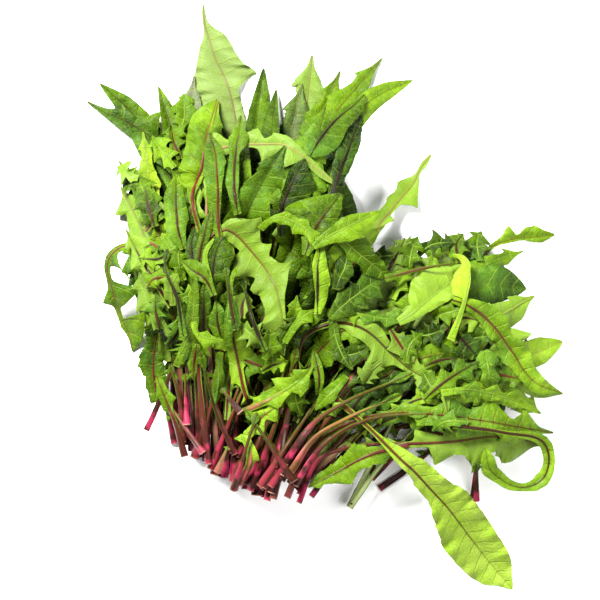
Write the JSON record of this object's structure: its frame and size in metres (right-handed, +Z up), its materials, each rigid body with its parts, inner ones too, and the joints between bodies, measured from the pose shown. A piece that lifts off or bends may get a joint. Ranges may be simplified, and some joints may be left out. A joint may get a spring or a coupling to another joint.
{
  "type": "radicchio",
  "caption": "Loose fanned bunch of cut red-ribbed leaf radicchio lying flat, with jagged green leaves on slender red stalks.",
  "frame": {"origin": "middle of the bunch, seen from above, on the surface that it lies on", "axes": "+Z up from the surface, +Y towards the tips of the leaves of the taller fan, +X towards the second fan, so that the cut stalks lie at low Y"},
  "size_m": [0.3366, 0.4134, 0.0806],
  "materials": {
    "leaf_green": "fresh leaf seen from its upper side: bumpy between the veins, softly glossy, on a dark red rib",
    "leaf_deep": "deeper green leaf of the lower heap, softly glossy, on a crimson stalk",
    "leaf_pale": "pale matte underside of a leaf, with raised veins and a raised pink rib"
  },
  "bodies": {
    "root": {"bed_left": "leaf_deep", "bed_up": "leaf_deep", "bed_right": "leaf_deep", "up_fan_1": "leaf_deep", "up_fan_2": "leaf_deep", "up_fan_3": "leaf_deep", "up_fan_4": "leaf_deep", "up_fan_5": "leaf_deep", "up_fan_6": "leaf_deep", "up_fan_7": "leaf_deep", "right_fan_1": "leaf_deep", "right_fan_2": "leaf_deep", "right_fan_3": "leaf_deep", "right_fan_4": "leaf_deep", "right_fan_5": "leaf_deep", "right_fan_6": "leaf_deep", "pale_feet": "leaf_green", "dark_foot": "leaf_green", "tall_pale": "leaf_pale", "ridge_left": "leaf_green", "ridge_leaves": "leaf_green", "ridge_right": "leaf_green", "left_reach": "leaf_green", "crown_right": "leaf_pale", "dark_horns": "leaf_green", "far_right": "leaf_green", "long_light": "leaf_green", "dark_right": "leaf_green", "bright_right": "leaf_green", "left_star": "leaf_pale", "pale_panel": "leaf_pale", "right_edge": "leaf_pale", "yellow_stripe": "leaf_green", "red_ribs": "leaf_green", "narrow_middle": "leaf_green", "across": "leaf_pale", "folded_big": "leaf_green", "bumpy": "leaf_green", "left_curl": "leaf_green", "low_left": "leaf_green", "left_stalk": "leaf_green", "curved_rib": "leaf_green", "brow_and_wedge": "leaf_green", "lone_and_spear": "leaf_pale", "dark_upright": "leaf_green", "orange_stalk": "leaf_green", "middle_star": "leaf_green", "lower_right": "leaf_green", "brown_arc": "leaf_pale", "toothed_over": "leaf_green", "crossing_low": "leaf_green", "low_bright": "leaf_green", "small_over": "leaf_green", "long_maroon": "leaf_pale", "long_red": "leaf_green", "dark_arc": "leaf_pale", "light_hero": "leaf_pale", "ribbon": "leaf_green", "small_low": "leaf_green", "lone_big": "leaf_green"}
  },
  "joints": []
}
